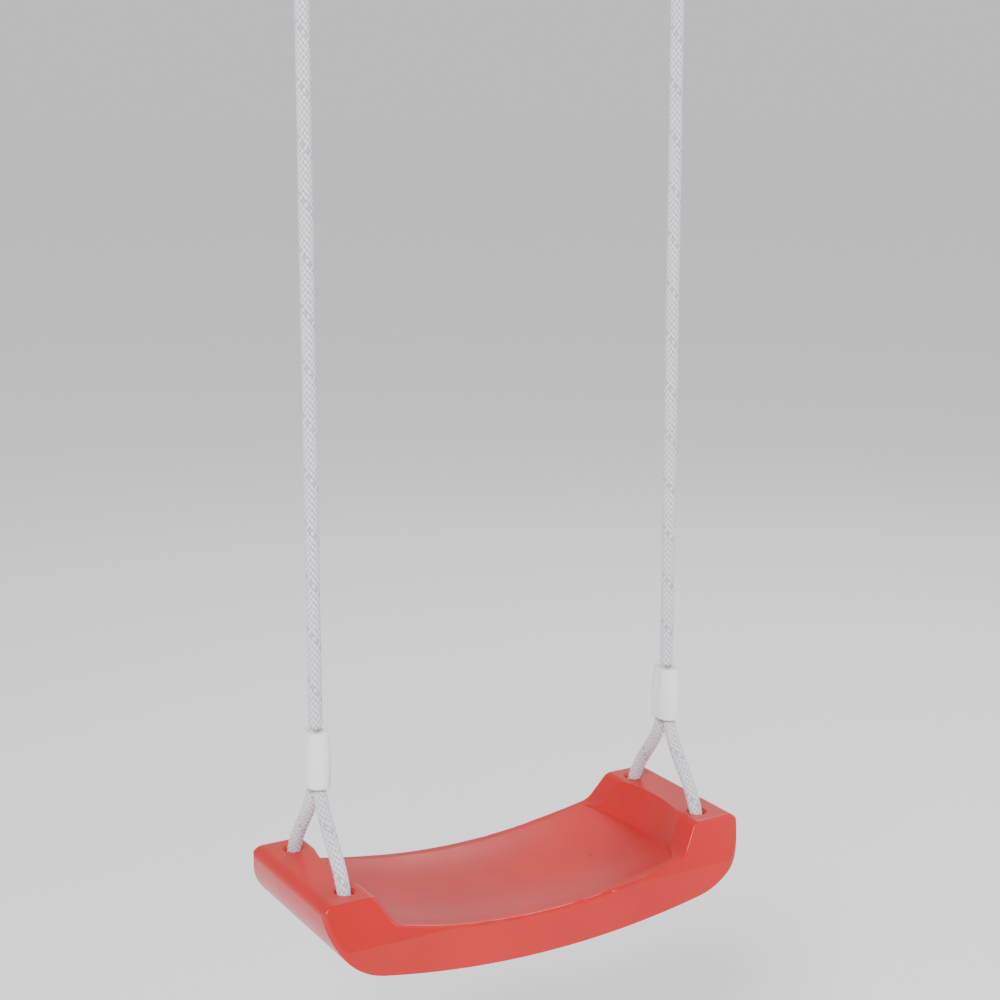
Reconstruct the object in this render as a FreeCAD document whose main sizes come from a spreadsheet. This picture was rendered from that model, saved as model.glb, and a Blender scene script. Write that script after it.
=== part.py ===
"""Board swing: a hollow moulded seat on two ropes, hung from two steel rings.

Frame: +Z up, +X along the seat, +Y to the back. The origin is half way between the two
points where a hook bears on the hanging rings, so everything else hangs below it.
Lengths are millimetres.
"""
import FreeCAD, Part
import math
import os
import Sketcher

V = FreeCAD.Vector
SIDES = (("left", -1), ("right", 1))

doc = FreeCAD.newDocument("board_swing")

# ---------------------------------------------------------------- driving dimensions
SIZES = {
    # seat
    "seat_length": 410, "seat_width": 170, "seat_height": 80, "seat_wall": 4,
    "seat_corner": 18, "end_radius": 60, "end_drop": 6, "top_round": 9,
    "block_length": 46, "block_round": 9, "shoulder_run": 16, "shoulder_round": 14,
    "rim_height": 37, "rim_radius": 597, "rim_width": 10, "dish_depth": 8,
    "bevel_start": 42, "bevel_lean": 12, "edge_round": 2.5,
    "scoop_foot": 151, "scoop_level": 48, "scoop_lean": 15, "opening_inset": 19,
    # ribs under the seat
    "rib_thick": 3, "rib_recess": 3, "rib_pitch": 47, "rib_row": 28, "rib_reach": 164,
    # where the rope goes through the seat
    "rope_span": 352, "hole_spread": 104, "hole_radius": 6.6, "hole_flare": 2.5, "boss_wall": 3,
    "saddle_thick": 12, "saddle_bend": 16, "rope_run_height": 44,
    # rope and running clearance
    "rope_diameter": 12, "fit_gap": 0.3,
    # ferrule where the two strands of the bridle meet the rope
    "ferrule_height": 48, "ferrule_round": 11, "ferrule_spread": 4.5, "ferrule_rise": 74,
    "ferrule_top_taper": 5, "ferrule_foot_taper": 2, "ferrule_edge": 2, "pocket_gap": 0.7,
    # hanging hardware
    "hang_drop": 945, "ring_wire": 8, "ring_inside": 50,
    "thimble_bore": 20, "thimble_wall": 4, "thimble_flange": 44, "thimble_width": 17,
    "thimble_mouth": 17, "thimble_edge": 1,
    "slider_drop": 135, "slider_height": 40, "slider_wall": 4, "slider_edge": 3, "tail_offset": 22,
    "knot_width": 27, "knot_height": 27, "knot_depth": 25, "knot_flat": 1.5, "tail_stub": 20,
}

sheet = doc.addObject("Spreadsheet::Sheet", "Sizes")
for row, (alias, value) in enumerate(SIZES.items(), start=1):
    sheet.set("A%d" % row, alias)
    sheet.set("B%d" % row, str(value))
    sheet.setAlias("B%d" % row, alias)
doc.recompute()


def size(alias):
    """The value of one cell, for the pieces whose shape is made by code."""
    return float(getattr(sheet, alias))


def bind(target, **formulas):
    """Bind properties to formulas; a word that is a cell's alias reads that cell."""
    for name, formula in formulas.items():
        target.setExpression(name.replace("__", "."), from_sheet(formula))


def from_sheet(formula):
    """Put the sheet's name before each alias in a formula."""
    text, word = "", ""
    for letter in formula + " ":
        if letter.isalnum() or letter == "_":
            word += letter
            continue
        text += ("Sizes." + word if word in SIZES else word) + letter
        word = ""
    return text.strip()


# ---------------------------------------------------------------- sketches and bodies
def new_body(label, **place):
    """A body with its label, placed by formulas such as Placement__Base__z."""
    body = doc.addObject("PartDesign::Body", label)
    body.Label = label
    bind(body, **place)
    return body


def new_sketch(body, name, plane):
    """A sketch on one of the body's own origin planes, such as XZ_Plane."""
    sketch = body.newObject("Sketcher::SketchObject", name)
    support = [item for item in body.Origin.OriginFeatures if item.Role == plane][0]
    sketch.AttachmentSupport = (support, [""])
    sketch.MapMode = "FlatFace"
    return sketch


def evaluate(sketch, formula):
    return float(sketch.evalExpression(from_sheet(formula)))


def constrain(sketch, kind, formula, *args):
    """Add a dimension and bind it to its formula."""
    number = sketch.addConstraint(Sketcher.Constraint(kind, *args, evaluate(sketch, formula)))
    sketch.setExpression("Constraints[%d]" % number, from_sheet(formula))


def outline(sketch, corners):
    """Close a profile through corners given as (x formula, y formula, bend).

    bend is None where the next side is straight. Where it is an arc, bend is
    (radius formula, side): side 1 bulges to the right of the way to the next corner.
    """
    first = sketch.GeometryCount
    places = [V(evaluate(sketch, x), evaluate(sketch, y), 0) for x, y, bend in corners]
    for index, (x, y, bend) in enumerate(corners):
        start = places[index]
        end = places[(index + 1) % len(places)]
        if bend is None:
            sketch.addGeometry(Part.LineSegment(start, end), False)
            continue
        radius = evaluate(sketch, bend[0])
        chord = end - start
        right = V(chord.y, -chord.x, 0).normalize() * bend[1]
        sagitta = radius - math.sqrt(max(radius ** 2 - (chord.Length / 2) ** 2, 0))
        middle = (start + end) * 0.5 + right * sagitta
        ends = (start, end) if bend[1] > 0 else (end, start)
        sketch.addGeometry(Part.Arc(ends[0], middle, ends[1]), False)
    starts = [first_end(side, place) for side, place in zip(sketch.Geometry[first:], places)]
    for index in range(len(corners)):
        follower = (index + 1) % len(corners)
        sketch.addConstraint(Sketcher.Constraint(
            "Coincident", first + index, 3 - starts[index], first + follower, starts[follower]))
    for index, (x, y, bend) in enumerate(corners):
        constrain(sketch, "DistanceX", x, -1, 1, first + index, starts[index])
        constrain(sketch, "DistanceY", y, -1, 1, first + index, starts[index])
        if bend is None:
            continue
        across = places[(index + 1) % len(places)] - places[index]
        if across.Length < 1.999999 * evaluate(sketch, bend[0]):
            constrain(sketch, "Radius", bend[0], first + index)
        elif abs(across.x) > abs(across.y):
            constrain(sketch, "DistanceY", y, -1, 1, first + index, 3)
        else:
            constrain(sketch, "DistanceX", x, -1, 1, first + index, 3)


def first_end(side, place):
    """Which end of a side, 1 or 2, lies at a place; an arc may run the other way."""
    return 1 if (side.StartPoint - place).Length < (side.EndPoint - place).Length else 2


def stadium(sketch, half_run, radius, centre="0"):
    """Two half circles of a radius joined by straight sides; they lie along Y."""
    outline(sketch, [
        ("%s + %s" % (centre, radius), "-(%s)" % half_run, None),
        ("%s + %s" % (centre, radius), half_run, (radius, 1)),
        ("%s - %s" % (centre, radius), half_run, None),
        ("%s - %s" % (centre, radius), "-(%s)" % half_run, (radius, 1)),
    ])


def pad(body, name, sketch, **formulas):
    feature = body.newObject("PartDesign::Pad", name)
    feature.Profile = sketch
    bind(feature, **formulas)
    return feature


def turn(body, kind, name, sketch, axis):
    """Turn a profile through a full circle about an axis of its own sketch."""
    feature = body.newObject("PartDesign::" + kind, name)
    feature.Profile = sketch
    feature.ReferenceAxis = (sketch, [axis])
    feature.Angle = 360
    return feature


def fillet_edges(body, name, radius, wanted):
    """Round the edges of the body's tip that the wanted test picks."""
    doc.recompute()
    tip = body.Tip
    edges = ["Edge%d" % (number + 1) for number, edge in enumerate(tip.Shape.Edges) if wanted(edge)]
    feature = body.newObject("PartDesign::Fillet", name)
    feature.Base = (tip, edges)
    bind(feature, Radius=radius)
    return feature


def along(edge, direction):
    """True for a straight edge parallel to a direction."""
    if edge.Curve.TypeId != "Part::GeomLine":
        return False
    return abs(abs(edge.Curve.Direction.dot(direction)) - 1) < 1e-6


# ---------------------------------------------------------------- seat
SEAT_BASE = {"Placement__Base__z": "-hang_drop - seat_height"}
# the end of the seat is a round of end_radius, tangent to the long round of the keel
END_X = "(seat_length / 2 - end_radius)"
END_Z = "(seat_height - end_drop)"
KEEL = "((%s^2 + %s^2 - end_radius^2) / (2 * (%s - end_radius)))" % (END_X, END_Z, END_Z)
BLOCK_X = "(seat_length / 2 - block_length)"
RIM_END_Z = "(rim_height + rim_radius - sqrt(rim_radius^2 - (%s - shoulder_run)^2))" % BLOCK_X
DISH_HALF = "(seat_width / 2 - rim_width)"
DISH_RADIUS = "((%s^2 + dish_depth^2) / (2 * dish_depth))" % DISH_HALF


def mirror_outline(right, closing_bend):
    """Corners of the right half, then their mirror images back to the start."""
    mirrored = []
    for index, (x, z, bend) in enumerate(right):
        back = right[index - 1][2] if index else closing_bend
        mirrored.insert(0, ("-(%s)" % x, z, back))
    return right + mirrored


def form_front(sketch):
    """Front view of the whole seat."""
    outline(sketch, mirror_outline([
        ("%s * %s / (%s - end_radius)" % (END_X, KEEL, KEEL),
         "%s - end_radius * (%s - %s) / (%s - end_radius)" % (END_Z, KEEL, END_Z, KEEL),
         ("end_radius", 1)),
        ("%s + sqrt(end_radius^2 - end_drop^2)" % END_X, "seat_height", None),
        (BLOCK_X, "seat_height", None),
        ("%s - shoulder_run" % BLOCK_X, RIM_END_Z, ("rim_radius", -1)),
    ], (KEEL, 1)))


def core_front(sketch, inset):
    """Front view of the hollow under the seat, a wall's thickness inside the form."""
    slope = "(shoulder_run / (seat_height - %s))" % RIM_END_Z
    shift = "%s * (sqrt(1 + %s^2) - %s)" % (inset, slope, slope)
    lip_x = "(seat_length / 2 - opening_inset)"
    foot_x = "(%s - shoulder_run + 0.6 * %s)" % (BLOCK_X, inset)
    inner = "(end_radius - %s)" % inset
    outline(sketch, mirror_outline([
        (lip_x, "-seat_wall", None),
        (lip_x, "%s - sqrt(%s^2 - (%s - %s)^2)" % (END_Z, inner, lip_x, END_X), (inner, 1)),
        ("%s + sqrt(%s^2 - (end_drop - %s)^2)" % (END_X, inner, inset), "seat_height - %s" % inset,
         None),
        ("%s + %s" % (BLOCK_X, shift), "seat_height - %s" % inset, None),
        (foot_x, "rim_height + rim_radius - sqrt((rim_radius + %s)^2 - %s^2)" % (inset, foot_x),
         ("rim_radius + %s" % inset, -1)),
    ], None))


def cut(body, name, sketch, length):
    """Cut a profile through the body, both ways from its plane."""
    feature = body.newObject("PartDesign::Pocket", name)
    feature.Profile = sketch
    feature.Midplane = True
    bind(feature, Length=length)


def round_corners(body, inset):
    """Cut the block to a plan with round corners."""
    half_x = "(seat_length / 2 - %s)" % inset
    half_y = "(seat_width / 2 - %s)" % inset
    radius = "(seat_corner - %s)" % inset
    far_x, far_y = "seat_length", "seat_width"
    sketch = new_sketch(body, body.Name + "_plan", "XY_Plane")
    outline(sketch, [(far_x, "-" + far_y, None), (far_x, far_y, None),
                     ("-" + far_x, far_y, None), ("-" + far_x, "-" + far_y, None)])
    bend = (radius, 1)
    outline(sketch, [
        (half_x, "-%s + %s" % (half_y, radius), None), (half_x, "%s - %s" % (half_y, radius), bend),
        ("%s - %s" % (half_x, radius), half_y, None), ("-%s + %s" % (half_x, radius), half_y, bend),
        ("-" + half_x, "%s - %s" % (half_y, radius), None),
        ("-" + half_x, "-%s + %s" % (half_y, radius), bend),
        ("-%s + %s" % (half_x, radius), "-" + half_y, None),
        ("%s - %s" % (half_x, radius), "-" + half_y, bend),
    ])
    cut(body, body.Name + "_corners", sketch, "4 * seat_height")


def lean_walls(body, inset):
    """Lean the long walls inwards above bevel_start."""
    sketch = new_sketch(body, body.Name + "_lean", "YZ_Plane")
    wall = "(seat_width / 2 - %s)" % inset
    slope = "bevel_lean / (seat_height - bevel_start)"
    top = "(seat_height + bevel_start)"
    for sign, bend in (("", None), ("-", None)):
        outline(sketch, [
            (sign + wall, "bevel_start", bend), (sign + "seat_width", "bevel_start", bend),
            (sign + "seat_width", top, bend),
            ("%s(%s - %s * seat_height)" % (sign, wall, slope), top, bend),
        ])
    cut(body, body.Name + "_bevel", sketch, "3 * seat_length")


def dish_tunnel(name, inset):
    """All that lies above the sitting surface, which is round both along and across."""
    body = new_body(name, **SEAT_BASE)
    sketch = new_sketch(body, name + "_section", "YZ_Plane")
    radius = "(%s + %s)" % (DISH_RADIUS, inset)
    half = "sqrt(%s^2 - (%s - dish_depth)^2)" % (radius, radius)
    low = "rim_height - %s" % inset
    outline(sketch, [("-" + half, low, (radius, 1)), (half, low, None),
                     (half, "seat_height", None), ("-" + half, "seat_height", None)])
    axis = sketch.addGeometry(Part.LineSegment(V(-50, size("rim_radius"), 0),
                                               V(50, size("rim_radius"), 0)), True)
    for end, x in ((1, "-%s" % DISH_HALF), (2, DISH_HALF)):
        constrain(sketch, "DistanceX", x, -1, 1, axis, end)
        constrain(sketch, "DistanceY", "rim_height + rim_radius", -1, 1, axis, end)
    feature = turn(body, "Revolution", name + "_sweep", sketch, "Axis0")
    feature.Midplane = True
    bind(feature, Angle="2 * asin(seat_length / 2 / rim_radius)")
    return body


def scoop_cone(name, inset):
    """The space between the end blocks, whose inner faces are hollowed to a round in plan."""
    body = new_body(name, **SEAT_BASE)
    sketch = new_sketch(body, name + "_profile", "XZ_Plane")
    low, high = "(rim_height - dish_depth - %s)" % inset, "(seat_height + dish_depth)"
    foot = "(scoop_foot + %s)" % inset
    outline(sketch, [
        ("0", low + " - dish_depth", None), (foot, low + " - dish_depth", None),
        (foot, "scoop_level", None), (foot + " + scoop_lean", "seat_height", None),
        (foot + " + scoop_lean", high, None), ("0", high, None),
    ])
    turn(body, "Revolution", name + "_turn", sketch, "V_Axis")
    return body


def combine(kind, name, shapes):
    item = doc.addObject("Part::" + kind, name)
    item.Shapes = shapes
    return item


def subtract(name, base, tool):
    item = doc.addObject("Part::Cut", name)
    item.Base = base
    item.Tool = tool
    return item


def pick_edge(x, z=None):
    """A test for an edge along Y at a distance x from the middle, and at a height z if given."""
    def wanted(edge):
        place = edge.CenterOfMass
        return (along(edge, V(0, 1, 0)) and abs(abs(place.x) - x) < 0.5
                and (z is None or abs(place.z - z) < 0.5))
    return wanted


def on_top_edge(edge):
    """True for the edges where the leaning walls meet the top and the round corners."""
    middle = edge.valueAt((edge.FirstParameter + edge.LastParameter) / 2)
    half_width = size("seat_width") / 2
    if edge.Curve.TypeId == "Part::GeomLine" and abs(middle.y) > half_width - 0.01:
        return False
    lowest = min(vertex.Z for vertex in edge.Vertexes)
    return abs(middle.y) > half_width - size("bevel_lean") - 1 and lowest > size("rim_height") - 1


form = new_body("seat_form", **SEAT_BASE)
front = new_sketch(form, "form_front", "XZ_Plane")
form_front(front)
pad(form, "form_block", front, Length="seat_width").Midplane = True
end_top_x = evaluate(front, "%s + sqrt(end_radius^2 - end_drop^2)" % END_X)
fillet_edges(form, "end_round", "top_round", pick_edge(end_top_x, size("seat_height")))
fillet_edges(form, "block_top_round", "block_round",
             pick_edge(evaluate(front, BLOCK_X), size("seat_height")))
fillet_edges(form, "block_foot_round", "shoulder_round",
             pick_edge(evaluate(front, BLOCK_X + " - shoulder_run")))
round_corners(form, "0")
lean_walls(form, "0")
fillet_edges(form, "top_edge_round", "edge_round", on_top_edge)
hollow_above = combine("MultiCommon", "sitting_space", [
    dish_tunnel("dish", "0"), scoop_cone("scoop", "0")])
outside = subtract("seat_outside", form, hollow_above)

core = new_body("seat_core", **SEAT_BASE)
hollow = new_sketch(core, "core_front", "XZ_Plane")
core_front(hollow, "seat_wall")
pad(core, "core_block", hollow, Length="seat_width - 2 * seat_wall").Midplane = True
round_corners(core, "seat_wall")
lean_walls(core, "seat_wall")
wall_above = combine("MultiCommon", "sitting_space_and_wall", [
    dish_tunnel("dish_and_wall", "seat_wall"), scoop_cone("scoop_and_wall", "seat_wall")])
inside = subtract("seat_inside", core, wall_above)


def primitive(kind, name, **formulas):
    item = doc.addObject("Part::" + kind, name)
    bind(item, **formulas)
    return item


def plate(name, low, high):
    """A box between two corners given as formulas, in the seat's own frame."""
    return primitive(
        "Box", name, Length="%s - (%s)" % (high[0], low[0]),
        Width="%s - (%s)" % (high[1], low[1]), Height="%s - (%s)" % (high[2], low[2]),
        Placement__Base__x=low[0], Placement__Base__y=low[1],
        Placement__Base__z="-hang_drop - seat_height + (%s)" % low[2])


def post(name, radius, x, y, low, high):
    """An upright cylinder in the seat's own frame."""
    return primitive(
        "Cylinder", name, Radius=radius, Height="%s - (%s)" % (high, low), Placement__Base__x=x,
        Placement__Base__y=y, Placement__Base__z="-hang_drop - seat_height + (%s)" % low)


ribs = []
for number in range(-3, 4):
    middle = "%d * rib_pitch" % number
    ribs.append(plate("cross_rib_%d" % (number + 4),
                      (middle + " - rib_thick / 2", "-seat_width / 2 + 1", "0"),
                      (middle + " + rib_thick / 2", "seat_width / 2 - 1", "seat_height")))
for number, middle in enumerate(("-rib_row", "rib_row"), start=1):
    ribs.append(plate("long_rib_%d" % number, ("-rib_reach", middle + " - rib_thick / 2", "0"),
                      ("rib_reach", middle + " + rib_thick / 2", "seat_height")))

holes = []
SADDLE_LOW = "(rope_run_height + rope_diameter / 2 + fit_gap)"
SADDLE_ROUND = "(saddle_bend - rope_diameter / 2 - fit_gap)"
for side, sign in SIDES:
    x = "%d * rope_span / 2" % sign
    near, far = x + " - saddle_thick / 2", x + " + saddle_thick / 2"
    turn_y = "(hole_spread / 2 - saddle_bend)"
    turn_z = "(rope_run_height + saddle_bend)"
    ribs.append(plate(side + "_saddle_web", (near, "-" + turn_y, SADDLE_LOW),
                      (far, turn_y, "seat_height")))
    ribs.append(plate(side + "_saddle_head", (near, "-hole_spread / 2 + hole_radius", turn_z),
                      (far, "hole_spread / 2 - hole_radius", "seat_height")))
    for place, y_sign in (("front", -1), ("back", 1)):
        y = "%d * hole_spread / 2" % y_sign
        bend = primitive("Cylinder", side + "_saddle_bend_" + place, Radius=SADDLE_ROUND,
                         Height="saddle_thick", Placement__Base__x=near,
                         Placement__Base__y="%d * %s" % (y_sign, turn_y),
                         Placement__Base__z="-hang_drop - seat_height + " + turn_z)
        bend.Placement.Rotation = FreeCAD.Rotation(V(0, 1, 0), 90)
        ribs.append(bend)
        ribs.append(post(side + "_boss_" + place, "hole_radius + boss_wall", x, y, turn_z,
                         "seat_height"))
        holes.append(post(side + "_hole_" + place, "hole_radius", x, y, turn_z + " - 1",
                          "seat_height + 1"))
        holes.append(primitive("Cone", side + "_flare_" + place, Radius1="hole_radius",
                               Radius2="hole_radius + hole_flare + 1", Height="hole_flare + 1",
                               Placement__Base__x=x, Placement__Base__y=y,
                               Placement__Base__z="-hang_drop - hole_flare"))

keel = primitive("Cylinder", "rib_keel", Radius=KEEL + " - rib_recess", Height="2 * seat_width",
                 Placement__Base__y="seat_width",
                 Placement__Base__z="-hang_drop - seat_height + " + KEEL)
keel.Placement.Rotation = FreeCAD.Rotation(V(1, 0, 0), 90)
lattice = combine("MultiFuse", "rib_lattice", ribs)
rib_zone = combine("MultiCommon", "rib_zone", [lattice, outside, keel])
shell = subtract("seat_walls", outside, inside)
solid_seat = combine("MultiFuse", "seat_with_ribs", [shell, rib_zone])
solid_seat.Refine = True
seat = subtract("seat_shell", solid_seat, combine("MultiFuse", "rope_holes", holes))

# ---------------------------------------------------------------- ropes
ROPE_R = size("rope_diameter") / 2


def route_wire(points, radii):
    """Straight runs joined by tangent arcs; radii are for the inner points."""
    edges = []
    last = points[0]
    for number, radius in enumerate(radii, start=1):
        corner = points[number]
        back = (points[number - 1] - corner).normalize()
        ahead = (points[number + 1] - corner).normalize()
        turned = math.pi - back.getAngle(ahead)
        reach = radius * math.tan(turned / 2)
        start, end = corner + back * reach, corner + ahead * reach
        bisector = (back + ahead).normalize()
        middle = corner + bisector * (reach / math.sin(turned / 2) - radius)
        if (start - last).Length > 1e-4:
            edges.append(Part.LineSegment(last, start).toShape())
        edges.append(Part.Arc(start, middle, end).toShape())
        last = end
    edges.append(Part.LineSegment(last, points[-1]).toShape())
    return Part.Wire(edges)


def rope_solid(label, points, radii, round_ends):
    """A tube along a route; round_ends says which of its ends are half balls."""
    wire = route_wire(points, radii)
    start_way = (points[1] - points[0]).normalize()
    circle = Part.Wire([Part.Circle(points[0], start_way, ROPE_R).toShape()])
    tube = wire.makePipeShell([circle], True, False)
    expected = math.pi * ROPE_R ** 2 * wire.Length
    print("%-20s length %.1f, volume against section times length %.4f" % (
        label, wire.Length, tube.Volume / expected))
    for place, is_round in zip((points[0], points[-1]), round_ends):
        if is_round:
            tube = tube.fuse(Part.makeSphere(ROPE_R, place)).removeSplitter()
    item = doc.addObject("Part::Feature", label)
    item.Label = label
    item.Shape = tube.Solids[0] if tube.Solids else tube
    return item


# Route of the main rope from the ferrule up through the slider, over the thimble and back down to
# the stopper knot: distance inwards from the line of the hanging point, and height.
MAIN_ROUTE = [(0, -823), (0, -128), (-23.3, -53.3), (-3.9, -35.9), (20.0, -46.2), (22, -128),
              (22, -175.6)]
MAIN_RADII = [40, 20.2, 20.2, 20.2, 100]

# Route of a bridle from the ferrule to the front hole, under the end block and up through the
# back hole: distance backwards, and height.
BRIDLE_ROUTE = [(-6.3, -871), (-6.3, -885), (-52, -940), (-52, -981), (52, -981), (52, -940),
                (6.3, -885), (6.3, -871)]
BRIDLE_RADII = [18, 14, 16, 16, 14, 18]

ropes = []
for side, sign in SIDES:
    x = sign * size("rope_span") / 2
    main_points = [V(x - sign * inward, 0, z) for inward, z in MAIN_ROUTE]
    bridle_points = [V(x, y, z) for y, z in BRIDLE_ROUTE]
    ropes.append(rope_solid(side + "_main_rope", main_points, MAIN_RADII, (True, False)))
    ropes.append(rope_solid(side + "_bridle_rope", bridle_points, BRIDLE_RADII, (True, True)))

# ---------------------------------------------------------------- ferrules
FERRULE_MID = "-hang_drop + ferrule_rise + ferrule_height / 2"
ferrules = []
for side, sign in SIDES:
    x = "%d * rope_span / 2" % sign
    body = new_body(side + "_ferrule", Placement__Base__x=x, Placement__Base__z=FERRULE_MID)
    section = new_sketch(body, side + "_ferrule_section", "XY_Plane")
    stadium(section, "ferrule_spread", "ferrule_round")
    upper = pad(body, side + "_ferrule_upper", section, Length="ferrule_height / 2",
                TaperAngle="-ferrule_top_taper")
    lower = pad(body, side + "_ferrule_lower", section, Length="ferrule_height / 2",
                TaperAngle="-ferrule_foot_taper")
    lower.Reversed = True
    doc.recompute()
    half_height = size("ferrule_height") / 2
    fillet_edges(body, side + "_ferrule_rounding", "ferrule_edge",
                 lambda edge: abs(abs(edge.CenterOfMass.z) - half_height) < 0.01)
    # the rope's round end turns in the socket at the top
    socket = new_sketch(body, side + "_socket_profile", "XZ_Plane")
    ball = "(rope_diameter / 2 + fit_gap)"
    outline(socket, [("0", "ferrule_height / 2 - " + ball, (ball, 1)),
                     (ball, "ferrule_height / 2", None),
                     (ball, "ferrule_height / 2 + 2", None), ("0", "ferrule_height / 2 + 2", None)])
    turn(body, "Groove", side + "_socket", socket, "V_Axis")
    # the two strand ends of the bridle turn together in the pocket at the foot
    pocket = new_sketch(body, side + "_pocket_profile", "XY_Plane")
    strand = "(rope_diameter / 2 + pocket_gap)"
    middle = "(rope_diameter / 2 + fit_gap)"
    outline(pocket, [("-" + strand, "0", None), (strand, "0", None), (strand, middle, (strand, 1)),
                     ("-" + strand, middle, None)])
    bind(pocket, AttachmentOffset__Base__z="-ferrule_height / 2")
    turn(body, "Groove", side + "_pocket", pocket, "H_Axis")
    ferrules.append(body)

# ---------------------------------------------------------------- hanging hardware
RING_R = "((ring_inside + ring_wire) / 2)"
RING_Z = "(-ring_inside / 2)"
THIMBLE_Z = "(%s - %s - thimble_bore / 2 + ring_wire / 2 + fit_gap)" % (RING_Z, RING_R)
hardware = []
for side, sign in SIDES:
    x = "%d * rope_span / 2" % sign
    ring = primitive("Torus", side + "_hanging_ring", Radius1=RING_R, Radius2="ring_wire / 2",
                     Placement__Base__x=x, Placement__Base__z=RING_Z)
    ring.Placement.Rotation = FreeCAD.Rotation(V(0, 1, 0), 90)
    hardware.append(ring)

    body = new_body(side + "_thimble", Placement__Base__x=x, Placement__Base__z=THIMBLE_Z)
    section = new_sketch(body, side + "_thimble_section", "XY_Plane")
    bore, half = "(thimble_bore / 2)", "(thimble_width / 2)"
    mouth = "(%s + thimble_mouth - sqrt(thimble_mouth^2 - %s^2))" % (bore, half)
    groove = "(rope_diameter / 2 + fit_gap)"
    flange = "(thimble_flange / 2)"
    groove_x = "(%s + thimble_wall + %s)" % (bore, groove)
    outline(section, [
        (mouth, "-" + half, None), (flange, "-" + half, None), (flange, "-" + groove, None),
        (groove_x, "-" + groove, (groove, -1)), (groove_x, groove, None), (flange, groove, None),
        (flange, half, None), (mouth, half, ("thimble_mouth", 1)),
    ])
    turn(body, "Revolution", side + "_thimble_turn", section, "V_Axis")
    half_width = size("thimble_width") / 2
    fillet_edges(body, side + "_thimble_rim", "thimble_edge",
                 lambda edge: abs(abs(edge.CenterOfMass.y) - half_width) < 0.01
                 and edge.Length > math.pi * size("thimble_flange") * 0.9)
    hardware.append(body)

    body = new_body(side + "_slider", Placement__Base__x=x,
                    Placement__Base__z="-slider_drop - slider_height / 2")
    section = new_sketch(body, side + "_slider_section", "XY_Plane")
    bore = "(rope_diameter / 2 + fit_gap)"
    outer = "(%s + slider_wall)" % bore
    tail_x = "%d * tail_offset" % -sign
    low_x, high_x = (tail_x, "0") if sign > 0 else ("0", tail_x)
    outline(section, [
        (low_x, "-" + outer, None), (high_x, "-" + outer, (outer, 1)),
        (high_x, outer, None), (low_x, outer, (outer, 1)),
    ])
    pad(body, side + "_slider_block", section, Length="slider_height").Midplane = True
    half_height = size("slider_height") / 2
    fillet_edges(body, side + "_slider_rounding", "slider_edge",
                 lambda edge: abs(abs(edge.CenterOfMass.z) - half_height) < 0.01)
    bores = new_sketch(body, side + "_slider_bores", "XY_Plane")
    for centre in ("0", tail_x):
        number = bores.addGeometry(
            Part.Circle(V(evaluate(bores, centre), 0, 0), V(0, 0, 1), evaluate(bores, bore)), False)
        constrain(bores, "DistanceX", centre, -1, 1, number, 3)
        constrain(bores, "DistanceY", "0", -1, 1, number, 3)
        constrain(bores, "Radius", bore, number)
    cut(body, side + "_slider_cut", bores, "2 * slider_height")
    hardware.append(body)

# A stopper knot in the rope's tail bears on the foot of the slider, with its end left below it.
knots = []
for side, sign in SIDES:
    x = sign * (size("rope_span") / 2 - size("tail_offset"))
    top = -size("slider_drop") - size("slider_height") - 2 * size("fit_gap")
    middle = top - size("knot_height") / 2 + size("knot_flat")
    ball = Part.makeSphere(1)
    stretch = FreeCAD.Matrix()
    stretch.scale(V(size("knot_width") / 2, size("knot_depth") / 2, size("knot_height") / 2))
    ball = ball.transformGeometry(stretch)
    ball.translate(V(x, 0, middle))
    block = 2 * size("knot_width")
    above = Part.makeBox(block, block, block, V(x - block / 2, -block / 2, top))
    foot = middle - size("knot_height") / 2 - size("tail_stub")
    stub = Part.makeCylinder(ROPE_R, size("tail_stub") + size("knot_height") / 2, V(x, 0, foot))
    knot = ball.cut(above).fuse(stub)
    item = doc.addObject("Part::Feature", side + "_tail_knot")
    item.Label = side + "_tail_knot"
    item.Shape = knot
    knots.append(item)

# ---------------------------------------------------------------- check and write
doc.recompute()
for item in doc.Objects:
    if "Invalid" in item.State or "Error" in item.State:
        raise RuntimeError("%s did not build: %s" % (item.Label, item.State))
os.makedirs("parts", exist_ok=True)
for item in [seat] + ropes + ferrules + hardware + knots:
    shape = item.Shape
    if shape.isNull() or not shape.isValid() or len(shape.Solids) != 1:
        raise RuntimeError("%s has a bad shape" % item.Label)
    shape.exportStep("parts/%s.step" % item.Label)
    box = shape.optimalBoundingBox()
    print("%-20s %10.0f mm3  x %.1f %.1f  y %.1f %.1f  z %.1f %.1f" % (
        item.Label, shape.Volume, box.XMin, box.XMax, box.YMin, box.YMax, box.ZMin, box.ZMax))
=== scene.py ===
"""Looks of the board swing: braided ropes, moulded plastic, steel rings, floor, light and camera.

Frame: +Z up, +X along the seat, +Y to the back, lengths in metres. The origin is half way between
the two points where a hook bears on the hanging rings.
"""
import math

import bpy
import numpy as np
from mathutils import Matrix, Vector


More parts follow.
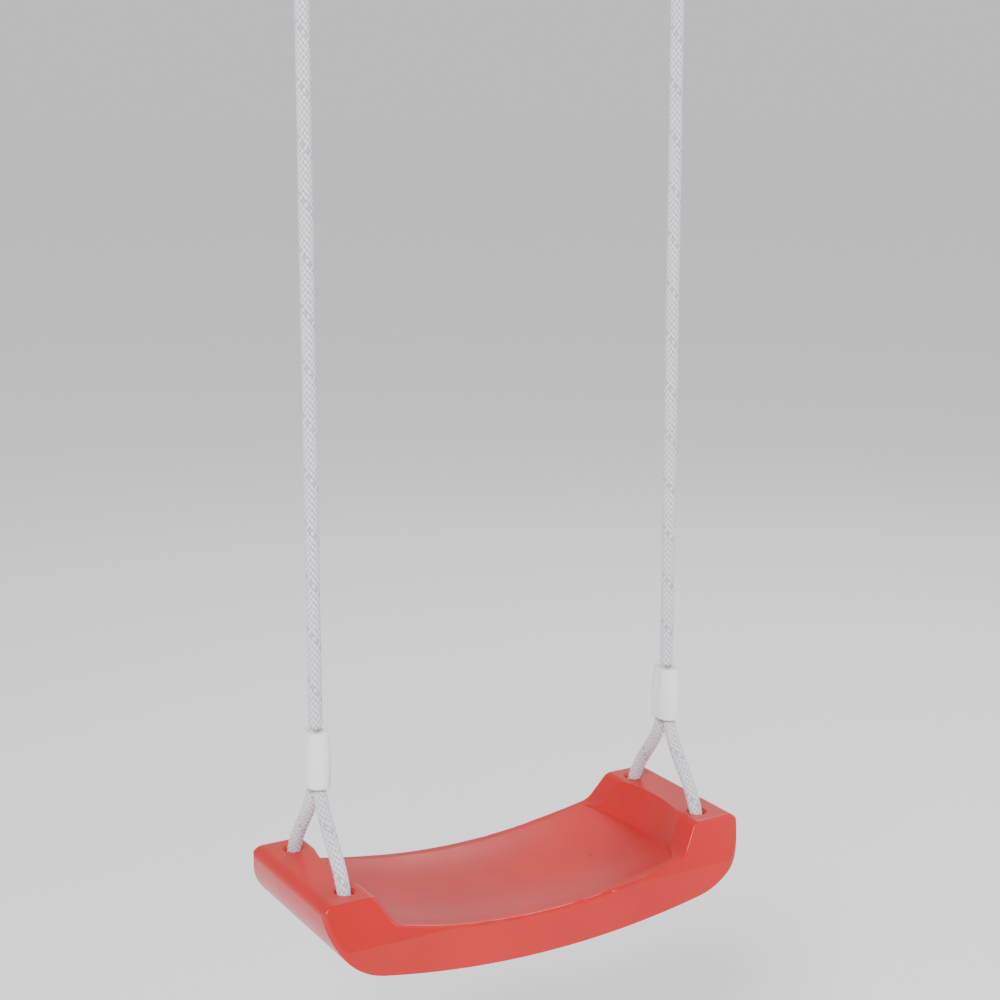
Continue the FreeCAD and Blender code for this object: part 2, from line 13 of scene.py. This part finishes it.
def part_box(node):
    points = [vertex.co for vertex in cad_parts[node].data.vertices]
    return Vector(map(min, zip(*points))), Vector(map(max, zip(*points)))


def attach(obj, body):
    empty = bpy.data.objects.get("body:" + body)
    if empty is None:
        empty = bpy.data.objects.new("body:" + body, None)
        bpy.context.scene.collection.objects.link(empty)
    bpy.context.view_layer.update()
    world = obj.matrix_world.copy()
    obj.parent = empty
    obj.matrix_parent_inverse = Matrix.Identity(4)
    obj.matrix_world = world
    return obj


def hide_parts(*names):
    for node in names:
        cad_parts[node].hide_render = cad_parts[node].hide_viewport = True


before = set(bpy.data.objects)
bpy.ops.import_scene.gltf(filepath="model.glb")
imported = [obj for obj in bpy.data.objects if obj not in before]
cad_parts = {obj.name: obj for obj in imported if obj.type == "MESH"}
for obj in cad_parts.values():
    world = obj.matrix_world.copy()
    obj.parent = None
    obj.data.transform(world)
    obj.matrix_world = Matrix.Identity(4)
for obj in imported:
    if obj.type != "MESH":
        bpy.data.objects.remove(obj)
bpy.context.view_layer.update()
seat_low, seat_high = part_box("seat_shell")
SIDES = (("left", -1), ("right", 1))
MM = 0.001
HANG_X = 0.176  # each rope hangs this far from the middle

# ---------------------------------------------------------------- camera
CAMERA_AZIMUTH = math.radians(30)  # to the left of the front
CAMERA_DIP = math.radians(10.8)
CAMERA_REACH = 1.6  # level distance from the middle of the seat
CAMERA_RISE = 0.646  # above the tops of the end blocks
CAMERA_LENS = 69  # mm
CAMERA_SHIFT = -0.05
CAMERA_NEAR, CAMERA_FAR = 0.05, 50


def make_camera():
    data = bpy.data.cameras.new("camera")
    data.lens = CAMERA_LENS
    data.shift_y = CAMERA_SHIFT
    data.clip_start, data.clip_end = CAMERA_NEAR, CAMERA_FAR
    camera = bpy.data.objects.new("camera", data)
    bpy.context.collection.objects.link(camera)
    camera.location = (-math.sin(CAMERA_AZIMUTH) * CAMERA_REACH,
                       -math.cos(CAMERA_AZIMUTH) * CAMERA_REACH,
                       seat_high.z + CAMERA_RISE)
    camera.rotation_euler = (math.pi / 2 - CAMERA_DIP, 0, -CAMERA_AZIMUTH)
    bpy.context.scene.camera = camera


make_camera()


# ---------------------------------------------------------------- finishes: their numbers
SEAT_DEEP, SEAT_BRIGHT = (0.44, 0.004, 0.004, 1), (0.54, 0.006, 0.005, 1)
SEAT_WORN = (0.60, 0.04, 0.035, 1)
FITTING_BRIGHT, FITTING_DEEP = (0.46, 0.008, 0.007, 1), (0.38, 0.006, 0.005, 1)
FERRULE_BRIGHT, FERRULE_DEEP = (0.86, 0.86, 0.86, 1), (0.79, 0.79, 0.81, 1)
YARN_SOILED, YARN_CLEAN = (0.70, 0.70, 0.76, 1), (0.80, 0.80, 0.85, 1)
# The second colour on the next line is painted shade for the gaps in the braid, with some dirt.
YARN_TRACER, YARN_PAINTED_SHADE = (0.40, 0.38, 0.47, 1), (0.26, 0.25, 0.32, 1)
STEEL_CLEAN, STEEL_STAINED = (0.62, 0.62, 0.63, 1), (0.44, 0.43, 0.42, 1)
FLOOR_PALE = (0.99, 0.99, 0.985, 1)
WORLD_PALE = (0.93, 0.94, 0.96, 1)
FINE_GRAIN, FITTING_GRAIN, FERRULE_GRAIN = 0.00006, 0.00008, 0.00003  # heights in metres
FITTING_GLOSS, FERRULE_GLOSS = 0.44, 0.24  # roughness
FITTING_COAT, FERRULE_COAT = 0.1, 0.6
# Squares of the distances from the middle between which the rubbed part of the seat fades out.
RUBBED_ALONG = (0.0121, 0.0196)
RUBBED_ACROSS = (0.0036, 0.0052)


# ---------------------------------------------------------------- materials
class Value:
    """A number that varies over a surface; arithmetic on it adds Math nodes."""

    def __init__(self, finish, socket):
        self.finish, self.socket = finish, socket

    def math(self, operation, *values):
        return self.finish.node("ShaderNodeMath", {"operation": operation}, *values)

    def __add__(self, other):
        return self.math("ADD", self, other)

    def __radd__(self, other):
        return self.math("ADD", other, self)

    def __sub__(self, other):
        return self.math("SUBTRACT", self, other)

    def __rsub__(self, other):
        return self.math("SUBTRACT", other, self)

    def __mul__(self, other):
        return self.math("MULTIPLY", self, other)

    def __rmul__(self, other):
        return self.math("MULTIPLY", other, self)

    def wave(self):
        """The sine of the value, which is taken as an angle."""
        return self.math("SINE", self)

    def step(self, low, high):
        """0 below low, 1 above high and a smooth rise between them."""
        return self.finish.node("ShaderNodeMapRange", {"interpolation_type": "SMOOTHSTEP"},
                                self, low, high, 0, 1)


class Finish:
    """A material with one Principled shader, and the nodes that lead to it."""

    def __init__(self, name, **constants):
        self.material = bpy.data.materials.new(name)
        self.material.use_nodes = True
        self.nodes = self.material.node_tree.nodes
        self.links = self.material.node_tree.links
        self.shader = self.nodes["Principled BSDF"]
        for socket, value in constants.items():
            self.shader.inputs[socket.replace("_", " ")].default_value = value

    def feed(self, socket, value):
        if isinstance(value, Value):
            self.links.new(value.socket, socket)
        elif value is not None:
            socket.default_value = value

    def node(self, kind, settings, *values, output=0, **named):
        """Add a node: its settings first, then its inputs in order and by name."""
        made = self.nodes.new(kind)
        for name, setting in settings.items():
            setattr(made, name, setting)
        for socket, value in zip(made.inputs, values):
            self.feed(socket, value)
        for name, value in named.items():
            self.feed(made.inputs[name.replace("_", " ")], value)
        return Value(self, made.outputs[output])

    def place(self):
        return self.node("ShaderNodeTexCoord", {}, output="Object")

    def scaled(self, place, scale):
        return self.node("ShaderNodeMapping", {}, Vector=place, Scale=scale)

    def noise(self, place, scale, detail=2.0, roughness=0.5):
        return self.node("ShaderNodeTexNoise", {}, Vector=place, Scale=scale, Detail=detail,
                         Roughness=roughness)

    def parts(self, vector):
        """The three numbers of a vector."""
        first = self.node("ShaderNodeSeparateXYZ", {}, vector)
        return [Value(self, socket) for socket in first.socket.node.outputs]

    def attribute(self, name):
        return self.node("ShaderNodeAttribute", {"attribute_name": name}, output="Fac")

    def mix(self, share, low, high):
        """A colour from low, where share is 0, to high, where it is 1."""
        made = self.nodes.new("ShaderNodeMix")
        made.data_type = "RGBA"
        for socket, value in zip((made.inputs[0], made.inputs[6], made.inputs[7]),
                                 (share, low, high)):
            self.feed(socket, value)
        return Value(self, made.outputs[2])

    def bump(self, height, distance, strength=1.0, under=None):
        return self.node("ShaderNodeBump", {}, Strength=strength, Distance=distance,
                         Height=height, Normal=under)

    def set(self, **inputs):
        for name, value in inputs.items():
            self.feed(self.shader.inputs[name.replace("_", " ")], value)


def moulded(name, tone, shade, gloss, grain, coat):
    """Injection-moulded plastic: fine grain, cloudy gloss, light handling marks."""
    finish = Finish(name, IOR=1.49, Coat_Roughness=0.12)
    place = finish.place()
    cloud = finish.noise(place, 9.0, 3.0)
    fine = finish.noise(place, 1900.0, 2.0, 0.6)
    flow = finish.noise(finish.scaled(place, (3.0, 14.0, 14.0)), 3.0, 4.0)
    scuff = finish.noise(finish.scaled(place, (30.0, 190.0, 190.0)), 1.6, 5.0, 0.7)
    scuff = scuff.step(0.60, 0.74)
    finish.set(
        Base_Color=finish.mix(cloud.step(0.30, 0.72), shade, tone),
        Roughness=gloss + (flow - 0.5) * 0.10 + scuff * 0.16 + (fine - 0.5) * 0.05,
        Coat_Weight=coat - scuff * coat * 0.6,
        Normal=finish.bump(fine, grain, 0.5, finish.bump(flow, 0.0006, 0.25)))
    return finish.material


def red_seat():
    finish = Finish("moulded red", IOR=1.5, Specular_IOR_Level=0.30, Coat_Roughness=0.14)
    place = finish.place()
    x, y = finish.parts(place)[:2]
    cloud = finish.noise(place, 7.0, 3.0)
    fine = finish.noise(place, 1500.0, 2.0, 0.6)
    flow = finish.noise(finish.scaled(place, (2.0, 9.0, 9.0)), 2.6, 4.0)
    scratch = finish.noise(finish.scaled(place, (22.0, 260.0, 260.0)), 1.4, 5.0, 0.72)
    scratch = scratch.step(0.54, 0.84)
    # the sitting surface between the blocks is rubbed smoother than the walls
    rubbed = (1 - (x * x).step(*RUBBED_ALONG)) * (1 - (y * y).step(*RUBBED_ACROSS))
    dust = finish.noise(place, 60.0, 4.0, 0.65).step(0.58, 0.78)
    tone = finish.mix(cloud.step(0.25, 0.75), SEAT_DEEP, SEAT_BRIGHT)
    worn = finish.mix(scratch * 0.16 + dust * 0.05, tone, SEAT_WORN)
    finish.set(
        Base_Color=worn,
        Roughness=0.38 + (flow - 0.5) * 0.12 + scratch * 0.14 - rubbed * 0.06 + dust * 0.08,
        Coat_Weight=0.22 - scratch * 0.16,
        Normal=finish.bump(fine, FINE_GRAIN, 0.55, finish.bump(flow, 0.0007, 0.3)))
    return finish.material


def rope_finish():
    """White braid: the yarns of a strand run along it, and painted shade, with some dirt, darkens
    the gaps between the strands and between the yarns.
    """
    finish = Finish("white braid", IOR=1.45, Sheen_Weight=0.35, Sheen_Roughness=0.5,
                    Specular_IOR_Level=0.3)
    across, along = finish.parts(finish.node("ShaderNodeUVMap", {"uv_map": "braid"}))[:2]
    crest = finish.attribute("crest")
    lean = finish.attribute("lean")
    tracer = finish.attribute("tracer")
    rising, falling = across + along, across - along
    turns = rising * (1 - lean) + falling * lean
    yarn = (turns * (2 * math.pi * YARNS)).wave() * 0.5 + 0.5
    soiled = finish.noise(finish.place(), 35.0, 3.0)
    fuzz = finish.noise(finish.place(), 2600.0, 2.0, 0.7)
    white = finish.mix(soiled, YARN_SOILED, YARN_CLEAN)
    tinted = finish.mix(tracer * 0.75, white, YARN_TRACER)
    # painted shade, with some dirt: the gaps between the strands, and less so between the yarns,
    # are mixed towards a dark grey-blue
    painted_gap_shade = 1 - crest.step(0.10, 0.62)
    finish.set(
        Base_Color=finish.mix(painted_gap_shade * 0.72 + (1 - yarn) * 0.10, tinted, YARN_PAINTED_SHADE),
        Roughness=0.72 + (fuzz - 0.5) * 0.2 - yarn * 0.08,
        Normal=finish.bump(yarn + fuzz * 0.5, 0.00016, 0.8))
    return finish.material


def brushed_steel():
    finish = Finish("brushed steel", Metallic=1.0, IOR=2.5)
    place = finish.place()
    brushed = finish.noise(finish.scaled(place, (1400.0, 160.0, 160.0)), 1.0, 3.0, 0.6)
    stain = finish.noise(place, 90.0, 4.0, 0.6)
    finish.set(
        Base_Color=finish.mix(stain.step(0.35, 0.75), STEEL_CLEAN, STEEL_STAINED),
        Roughness=0.26 + brushed * 0.16 + stain * 0.10,
        Normal=finish.bump(brushed, 0.00005, 0.5))
    return finish.material


# ---------------------------------------------------------------- ropes
ROPE = 0.012  # diameter
STRANDS = 8  # diamonds round the rope
PLAIT = 0.0055  # length of one diamond
RELIEF = 0.00075  # depth of the gaps between the strands
YARNS = 4  # across a strand
TRACER_EVERY = 8  # one strand in so many carries the darker yarn
RING_STEP = 0.0011  # distance between the rings of points of a tube
RING_SIDES = 44
ROUTE_STEPS = 40  # points of the smooth curve for each of its spans
FIRST_SIDE = (0.3, 0.9, 0.2)  # any direction that no rope starts in

# Distance inwards from the line of the hanging point, and height.
MAIN_ROUTE = [(0, -823), (0, -206), (0, -128), (-23.3, -53.3), (-3.9, -35.9), (20.0, -46.2),
              (22, -128), (22, -175.6)]
# Distance backwards, and height.
BRIDLE_ROUTE = [(-6.3, -871), (-6.3, -885), (-52, -940), (-54, -984), (54, -984), (52, -940),
                (6.3, -885), (6.3, -871)]


def link(name, data):
    piece = bpy.data.objects.new(name, data)
    bpy.context.collection.objects.link(piece)
    return piece


def spline_points(points):
    """The points that a smooth curve through a route gives, as an array."""
    curve = bpy.data.curves.new("route", "CURVE")
    curve.dimensions = "3D"
    curve.resolution_u = ROUTE_STEPS
    spline = curve.splines.new("NURBS")
    spline.points.add(len(points) - 1)
    for control, point in zip(spline.points, points):
        control.co = (*point, 1)
    spline.order_u = 3
    spline.use_endpoint_u = True
    carrier = link("route", curve)
    line = bpy.data.meshes.new_from_object(carrier)
    found = np.array([vertex.co for vertex in line.vertices])
    bpy.data.objects.remove(carrier)
    bpy.data.curves.remove(curve)
    bpy.data.meshes.remove(line)
    return found


def even_steps(line, step):
    """The same line with its points evenly apart, and their distances from the start."""
    run = np.concatenate([[0], np.cumsum(np.linalg.norm(np.diff(line, axis=0), axis=1))])
    count = max(int(run[-1] / step), 4)
    marks = np.linspace(0, run[-1], count + 1)
    return np.stack([np.interp(marks, run, line[:, axis]) for axis in range(3)], axis=1), marks


def frames_along(line):
    """Two unit vectors across the line at each of its points, without twist."""
    way = np.gradient(line, axis=0)
    way /= np.linalg.norm(way, axis=1)[:, None]
    side = np.cross(way[0], FIRST_SIDE)
    sides = []
    for direction in way:
        side = side - direction * np.dot(side, direction)
        side /= np.linalg.norm(side)
        sides.append(side)
    sides = np.array(sides)
    return sides, np.cross(way, sides)


def braid(turn, run):
    """Height of the braid from 0 to 1, its lean (0 or 1) and its tracer, on a grid."""
    rising, falling = turn + run, turn - run
    row, column = np.floor(rising), np.floor(falling)
    up, down = rising - row, falling - column
    lean = (row + column) % 2
    over = np.where(lean > 0, np.sin(np.pi * up), np.sin(np.pi * down))
    along = np.where(lean > 0, np.sin(np.pi * down), np.sin(np.pi * up))
    height = over ** 0.7 * (0.35 + 0.65 * along ** 0.6)
    tracer = ((row % TRACER_EVERY == 0) & (lean == 0)).astype(float)
    return height, lean, tracer


def braided_tube(name, line, diameter, ends=(True, True)):
    """A closed tube along a line with the braid in its surface; ends tells which are round."""
    line, marks = even_steps(line, RING_STEP)
    sides, ups = frames_along(line)
    angles = np.linspace(0, 2 * math.pi, RING_SIDES, endpoint=False)
    turn, run = np.meshgrid(angles / (2 * math.pi) * STRANDS, marks / PLAIT)
    height, lean, tracer = braid(turn, run)
    radius = diameter / 2 - RELIEF * (1 - height)
    reach = diameter / 2
    for from_end, is_round in ((marks, ends[0]), (marks[-1] - marks, ends[1])):
        if is_round:
            inside = np.clip(1 - from_end / reach, 0, 1)
            radius = radius * np.sqrt(np.clip(1 - inside ** 2, 0.02, 1))[:, None]
    across = (np.cos(angles)[None, :, None] * sides[:, None, :]
              + np.sin(angles)[None, :, None] * ups[:, None, :])
    rings = line[:, None, :] + across * radius[:, :, None]
    return close_tube(name, rings, (line[0], line[-1]), (height, lean, tracer), marks / PLAIT)


def close_tube(name, rings, poles, layers, run):
    """Join rings of points with faces, close both ends and write the braid's attributes."""
    rows, sides = rings.shape[:2]
    points = np.concatenate([rings.reshape(-1, 3), np.array(poles)])
    first_pole, last_pole = rows * sides, rows * sides + 1
    faces, places = [], []
    for row in range(rows - 1):
        for side in range(sides):
            after = (side + 1) % sides
            faces.append((row * sides + side, row * sides + after,
                          (row + 1) * sides + after, (row + 1) * sides + side))
            left, right = side / sides * STRANDS, (side + 1) / sides * STRANDS
            places += [(left, run[row]), (right, run[row]), (right, run[row + 1]),
                       (left, run[row + 1])]
    last = (rows - 1) * sides
    for side in range(sides):
        after = (side + 1) % sides
        faces += [(first_pole, after, side), (last_pole, last + side, last + after)]
        places += [(0, run[0])] * 3 + [(0, run[-1])] * 3
    mesh = bpy.data.meshes.new(name)
    mesh.from_pydata(points.tolist(), [], faces)
    mesh.uv_layers.new(name="braid").data.foreach_set("uv", np.array(places, float).ravel())
    for title, values in zip(("crest", "lean", "tracer"), layers):
        column = mesh.attributes.new(title, "FLOAT", "POINT")
        column.data.foreach_set("value", np.concatenate([values.ravel(), [0, 0]]))
    mesh.polygons.foreach_set("use_smooth", np.ones(len(faces), bool))
    mesh.update()
    return link(name, mesh)


def main_rope(side, sign):
    x = sign * HANG_X
    line = spline_points([(x - sign * inward * MM, 0, z * MM) for inward, z in MAIN_ROUTE])
    return braided_tube(side + "_braided_rope", line, ROPE, (True, False)), line


def bridle(side, sign):
    line = spline_points([(sign * HANG_X, y * MM, z * MM) for y, z in BRIDLE_ROUTE])
    return braided_tube(side + "_braided_bridle", line, ROPE), line


WRAP_RADIUS = 0.0088  # of the middle of a wrap about the rope's tail
WRAP_THICK = 0.0096  # the rope is squeezed where it is knotted
WRAP_RISE = 0.0084  # height of one wrap
WRAPS = 2.0
WRAP_LEAD = 0.3  # part of a turn in which a wrap comes in from the tail
WRAP_STEPS = 72
TAIL_HIDDEN = 0.004  # the cut end starts this far below the top of the knot
TAIL_SHARE = 0.97  # its diameter as a share of the rope's


def stopper_knot(side, sign):
    """A barrel knot: two wraps round the tail, and the cut end below them."""
    low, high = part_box(side + "_tail_knot")
    x, top = (low.x + high.x) / 2, high.z - WRAP_THICK / 2
    turns = np.linspace(-WRAP_LEAD, WRAPS + WRAP_LEAD, WRAP_STEPS)
    from_end = np.minimum(turns + WRAP_LEAD, WRAPS + WRAP_LEAD - turns)
    held = np.clip(from_end / WRAP_LEAD, 0, 1)
    radius = WRAP_RADIUS * (0.35 + 0.65 * held)
    angles = 2 * math.pi * turns * sign
    wraps = np.stack([x + radius * np.cos(angles), radius * np.sin(angles),
                      top - np.clip(turns, 0, WRAPS) * WRAP_RISE], axis=1)
    tail = np.array([(x, 0, high.z - TAIL_HIDDEN), (x, 0, (low.z + high.z) / 2), (x, 0, low.z)])
    knot = braided_tube(side + "_stopper_knot", wraps, WRAP_THICK)
    end = braided_tube(side + "_rope_end", tail, ROPE * TAIL_SHARE, (False, True))
    return knot, end


white_braid = rope_finish()
for side, sign in SIDES:
    x, body = sign * HANG_X, side + "_line"
    rope, rope_line = main_rope(side, sign)
    loop, loop_line = bridle(side, sign)
    knot, end = stopper_knot(side, sign)
    for piece, rides_on in ((rope, body), (knot, body), (end, body), (loop, "seat")):
        piece.data.materials.append(white_braid)
        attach(piece, rides_on)
    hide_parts(side + "_main_rope")
    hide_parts(side + "_bridle_rope")
    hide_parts(side + "_tail_knot")

# ---------------------------------------------------------------- plastic and steel
RIDGES = 8
RIDGE_PITCH = 0.004
RIDGE_WIRE = 0.0007  # radius
RIDGE_SIDES = 10
ARC_STEPS = 16  # in each round end of the outline


def ridge_tree():
    """Nodes that repeat one round ridge up the height of a slider."""
    tree = bpy.data.node_groups.new("grip ridges", "GeometryNodeTree")
    tree.is_modifier = True
    face = tree.interface
    face.new_socket("Outline", in_out="INPUT", socket_type="NodeSocketGeometry")
    for title, kind in (("Ridges", "NodeSocketInt"), ("Pitch", "NodeSocketFloat"),
                        ("Wire", "NodeSocketFloat"), ("Finish", "NodeSocketMaterial")):
        face.new_socket(title, in_out="INPUT", socket_type=kind)
    face.new_socket("Ridges", in_out="OUTPUT", socket_type="NodeSocketGeometry")
    kinds = {"given": "NodeGroupInput", "result": "NodeGroupOutput",
             "line": "GeometryNodeMeshToCurve", "wire": "GeometryNodeCurvePrimitiveCircle",
             "ridge": "GeometryNodeCurveToMesh", "rise": "ShaderNodeCombineXYZ",
             "levels": "GeometryNodeMeshLine", "repeat": "GeometryNodeInstanceOnPoints",
             "real": "GeometryNodeRealizeInstances", "smooth": "GeometryNodeSetShadeSmooth",
             "paint": "GeometryNodeSetMaterial"}
    nodes = {name: tree.nodes.new(kind) for name, kind in kinds.items()}
    nodes["wire"].inputs["Resolution"].default_value = RIDGE_SIDES
    for source, output, target, entry in (
            ("given", "Outline", "line", "Mesh"), ("given", "Wire", "wire", "Radius"),
            ("line", "Curve", "ridge", "Curve"), ("wire", "Curve", "ridge", "Profile Curve"),
            ("given", "Pitch", "rise", "Z"), ("rise", "Vector", "levels", "Offset"),
            ("given", "Ridges", "levels", "Count"), ("levels", "Mesh", "repeat", "Points"),
            ("ridge", "Mesh", "repeat", "Instance"), ("repeat", "Instances", "real", "Geometry"),
            ("real", "Geometry", "smooth", "Geometry"), ("smooth", "Geometry", "paint", "Geometry"),
            ("given", "Finish", "paint", "Material"), ("paint", "Geometry", "result", "Ridges")):
        tree.links.new(nodes[source].outputs[output], nodes[target].inputs[entry])
    return tree


def grip_ridges(side, tree, finish):
    """Round ridges about a slider, for the fingers that push it up and down."""
    low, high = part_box(side + "_slider")
    radius = (high.y - low.y) / 2
    half = (high.x - low.x) / 2 - radius
    middle_x = (low.x + high.x) / 2
    base = (low.z + high.z) / 2 - RIDGE_PITCH * (RIDGES - 1) / 2
    corners = []
    for centre, start in ((half, -90), (-half, 90)):
        for step in range(ARC_STEPS + 1):
            angle = math.radians(start + step * 180 / ARC_STEPS)
            corners.append((middle_x + centre + radius * math.cos(angle),
                            radius * math.sin(angle), base))
    count = len(corners)
    mesh = bpy.data.meshes.new("outline")
    mesh.from_pydata(corners, [(number, (number + 1) % count) for number in range(count)], [])
    carrier = link("outline", mesh)
    modifier = carrier.modifiers.new("ridges", "NODES")
    modifier.node_group = tree
    wanted = {"Ridges": RIDGES, "Pitch": RIDGE_PITCH, "Wire": RIDGE_WIRE, "Finish": finish}
    for item in tree.interface.items_tree:
        if item.in_out == "INPUT" and item.name in wanted:
            modifier[item.identifier] = wanted[item.name]
    bpy.context.view_layer.update()
    seen = carrier.evaluated_get(bpy.context.evaluated_depsgraph_get())
    result = bpy.data.meshes.new_from_object(seen)
    bpy.data.objects.remove(carrier)
    piece = link(side + "_slider_ridges", result)
    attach(piece, side + "_line")


def paint(node, material):
    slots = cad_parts[node].data.materials
    slots.clear()
    slots.append(material)


seat_red = red_seat()
fitting_red = moulded("fitting red", FITTING_BRIGHT, FITTING_DEEP, FITTING_GLOSS, FITTING_GRAIN,
                      FITTING_COAT)
ferrule_white = moulded("ferrule white", FERRULE_BRIGHT, FERRULE_DEEP, FERRULE_GLOSS,
                        FERRULE_GRAIN, FERRULE_COAT)
steel = brushed_steel()
ridge_nodes = ridge_tree()
paint("seat_shell", seat_red)
for side, sign in SIDES:
    paint(side + "_ferrule", ferrule_white)
    paint(side + "_slider", fitting_red)
    paint(side + "_thimble", fitting_red)
    paint(side + "_hanging_ring", steel)
    grip_ridges(side, ridge_nodes, fitting_red)

# ---------------------------------------------------------------- floor and light
FLOOR_DROP = 0.30  # below the seat
FLOOR_HALF = 60.0
WORLD_STRENGTH = 0.80
LIGHTS = (("key light", (-1.9, -2.0, 1.1), 120, 1.0),  # place, watts and width
          ("fill light", (2.2, -1.6, 0.1), 30, 1.8),
          ("back light", (1.6, 1.4, 1.2), 26, 1.0))


def make_floor():
    finish = Finish("pale floor", Roughness=0.8)
    finish.shader.inputs["Base Color"].default_value = FLOOR_PALE
    mesh = bpy.data.meshes.new("floor")
    half = FLOOR_HALF
    mesh.from_pydata([(-half, -half, 0), (half, -half, 0), (half, half, 0), (-half, half, 0)], [],
                     [(0, 1, 2, 3)])
    mesh.transform(Matrix.Translation((0, 0, seat_low.z - FLOOR_DROP)))
    floor = link("floor", mesh)
    floor.data.materials.append(finish.material)


def make_light(name, place, power, width):
    data = bpy.data.lights.new(name, "AREA")
    data.energy, data.size = power, width
    lamp = link(name, data)
    lamp.location = place
    aim = Vector((0, 0, seat_high.z)) - lamp.location
    lamp.rotation_euler = aim.to_track_quat("-Z", "Y").to_euler()


make_floor()
for light in LIGHTS:
    make_light(*light)
world = bpy.data.worlds.new("studio")
bpy.context.scene.world = world
world.use_nodes = True
sky = world.node_tree.nodes["Background"].inputs
sky["Color"].default_value = WORLD_PALE
sky["Strength"].default_value = WORLD_STRENGTH
